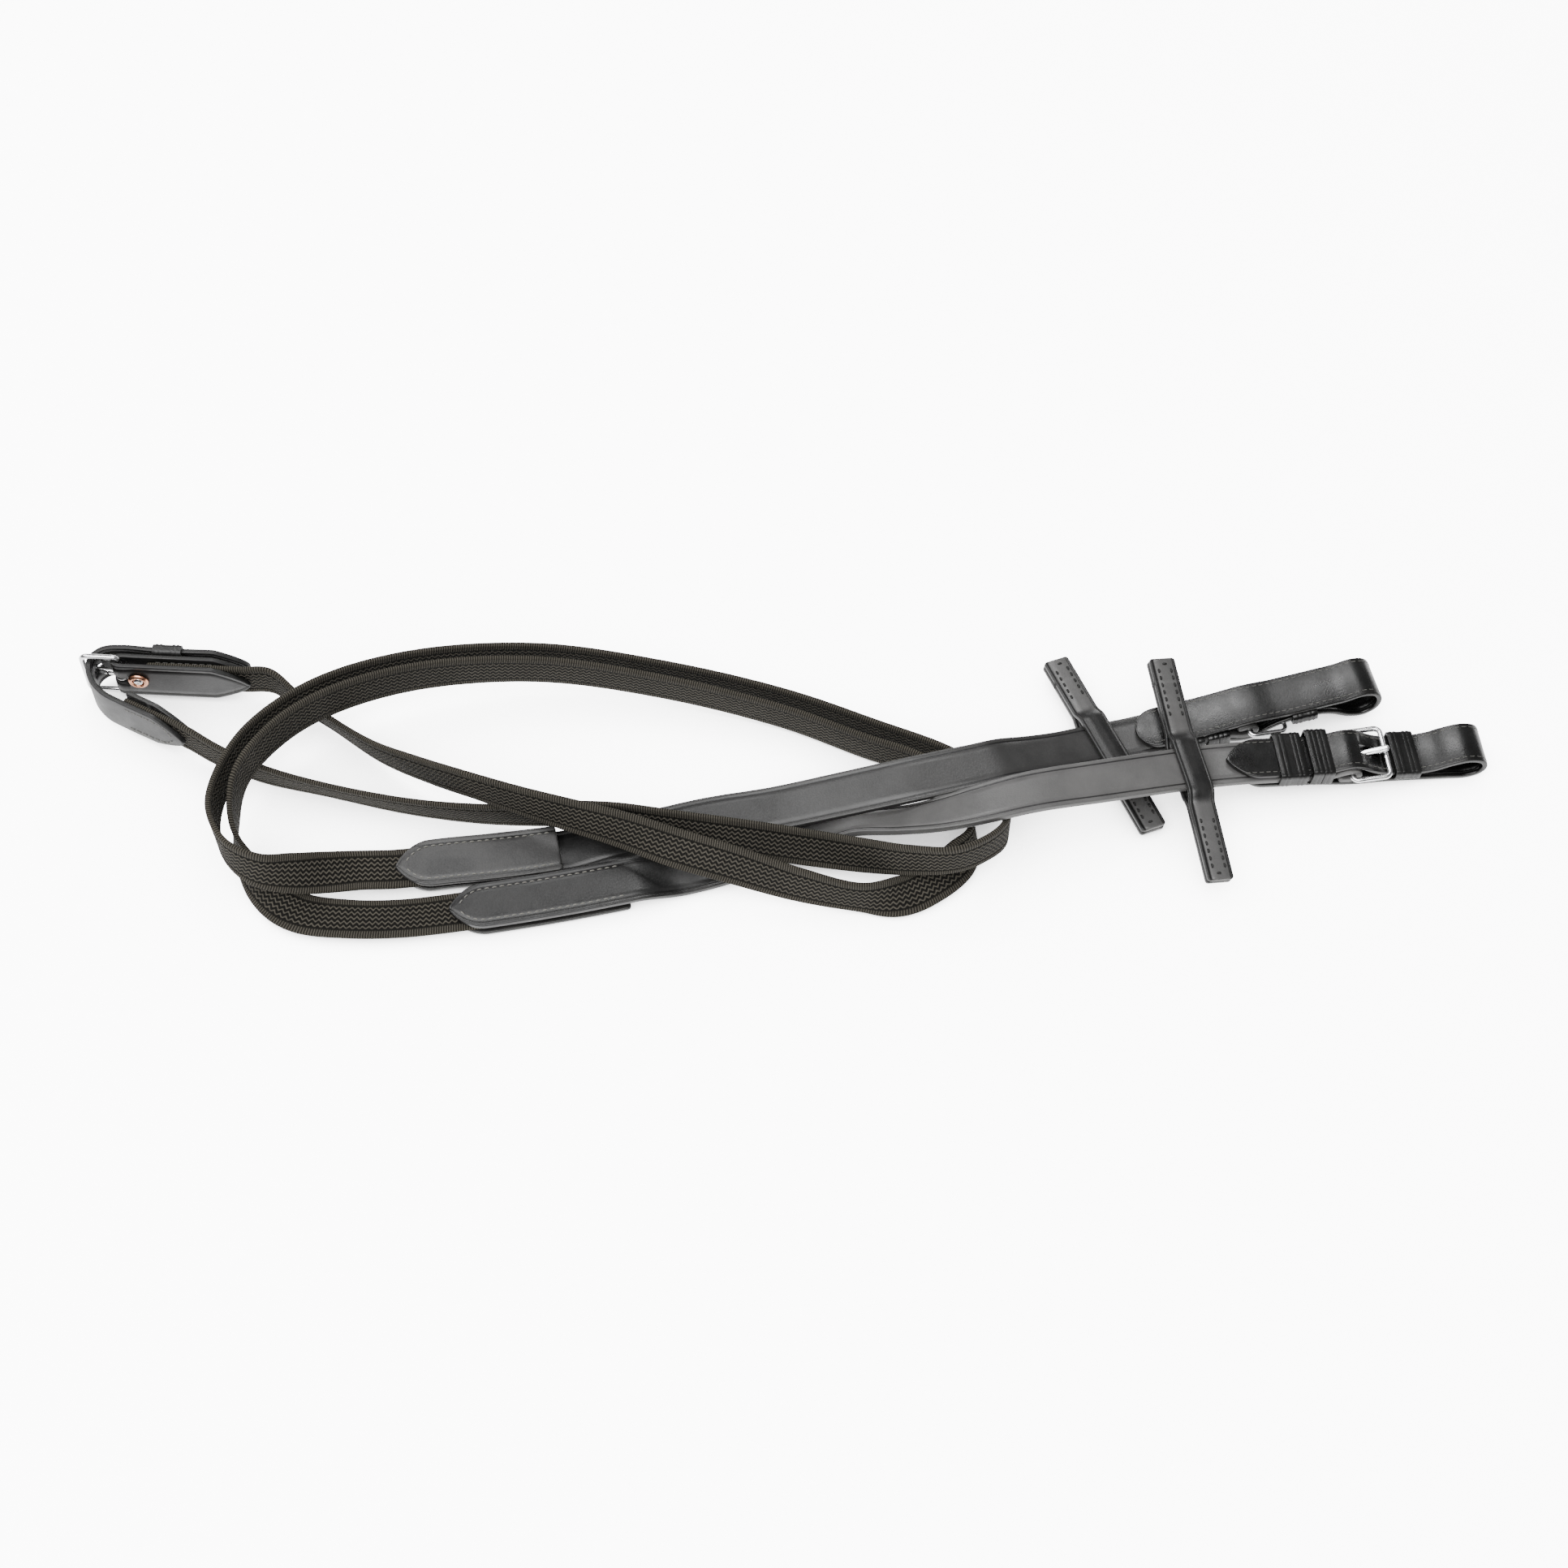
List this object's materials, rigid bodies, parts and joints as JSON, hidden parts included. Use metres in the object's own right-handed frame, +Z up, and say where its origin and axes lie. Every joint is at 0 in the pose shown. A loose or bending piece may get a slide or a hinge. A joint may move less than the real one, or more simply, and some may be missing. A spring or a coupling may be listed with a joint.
{
  "type": "riding reins",
  "caption": "Pair of riding reins: grip webbing with leather ends, sliding rein stops, buckled loops for the bit rings and a centre buckle.",
  "frame": {"origin": "centre of the box round the reins as they lie, on the surface they lie on", "axes": "+X from the centre buckle towards the bit loops, +Y away from the viewer, +Z up"},
  "size_m": [0.5698, 0.1312, 0.0357],
  "materials": {
    "centre_leather": "smooth black bridle leather, semi gloss, stitched edges",
    "steel": "polished stainless steel",
    "copper": "polished copper washer",
    "webbing": "charcoal grip webbing with zigzag ridges and ribbed selvedges",
    "strap_leather": "smooth black bridle leather with creased edges",
    "billet_leather": "black bridle leather, glossy on the folds",
    "stop_leather": "black bridle leather, hand stitched"
  },
  "bodies": {
    "root": {"centre_chape": "centre_leather", "centre_point_strap": "centre_leather", "centre_point_lining": "centre_leather", "centre_keeper": "centre_leather", "centre_rivet": "steel", "centre_rivet_washer": "copper", "buckle_rein_web": "webbing", "point_rein_web": "webbing", "buckle_rein_strap": "strap_leather", "buckle_rein_splice_tab": "strap_leather", "point_rein_strap": "strap_leather", "point_rein_splice_tab": "strap_leather", "buckle_rein_billet": "billet_leather", "buckle_rein_tip_keeper": "billet_leather", "buckle_rein_buckle_keeper": "billet_leather", "buckle_rein_loop_keeper": "billet_leather", "point_rein_billet": "billet_leather", "point_rein_tip_keeper": "billet_leather", "point_rein_buckle_keeper": "billet_leather", "point_rein_loop_keeper": "billet_leather"},
    "centre_buckle": {"centre_buckle_frame": "steel"},
    "centre_tongue": {"centre_buckle_tongue": "steel"},
    "buckle_rein_buckle": {"buckle_rein_bit_buckle_frame": "steel"},
    "buckle_rein_tongue": {"buckle_rein_bit_buckle_tongue": "steel"},
    "point_rein_buckle": {"point_rein_bit_buckle_frame": "steel"},
    "point_rein_tongue": {"point_rein_bit_buckle_tongue": "steel"},
    "buckle_rein_stop": {"buckle_rein_stop_front": "stop_leather", "buckle_rein_stop_back": "stop_leather"},
    "point_rein_stop": {"point_rein_stop_front": "stop_leather", "point_rein_stop_back": "stop_leather"}
  },
  "joints": [
    {"name": "centre_buckle_rock", "type": "hinge", "parent": "root", "child": "centre_buckle", "pos_m": [-0.26849, 0.05333, 0.01325], "axis": [0, 0, -1], "range_deg": [-4, 4]},
    {"name": "centre_tongue_lift", "type": "hinge", "parent": "centre_buckle", "child": "centre_tongue", "pos_m": [-0.26849, 0.05333, 0.01325], "axis": [0, 0, -1], "range_deg": [0, 4]},
    {"name": "buckle_rein_buckle_rock", "type": "hinge", "parent": "root", "child": "buckle_rein_buckle", "pos_m": [0.22801, 0.01439, 0.01103], "axis": [0.1219, -0.9925, 0], "range_deg": [0, 5]},
    {"name": "buckle_rein_tongue_lift", "type": "hinge", "parent": "buckle_rein_buckle", "child": "buckle_rein_tongue", "pos_m": [0.22801, 0.01439, 0.01103], "axis": [0.1219, -0.9925, 0], "range_deg": [0, 8]},
    {"name": "point_rein_buckle_rock", "type": "hinge", "parent": "root", "child": "point_rein_buckle", "pos_m": [0.18792, 0.03702, 0.00897], "axis": [-0.225, 0.9744, 0], "range_deg": [0, 5]},
    {"name": "point_rein_tongue_lift", "type": "hinge", "parent": "point_rein_buckle", "child": "point_rein_tongue", "pos_m": [0.18792, 0.03702, 0.00897], "axis": [-0.225, 0.9744, 0], "range_deg": [0, 8]},
    {"name": "buckle_rein_stop_slide", "type": "slide", "parent": "root", "child": "buckle_rein_stop", "axis": [0.9495, 0.2611, -0.1741], "range_m": [-0.03, 0.004]},
    {"name": "point_rein_stop_slide", "type": "slide", "parent": "root", "child": "point_rein_stop", "axis": [0.9217, 0.3335, -0.1983], "range_m": [-0.01, 0]}
  ]
}
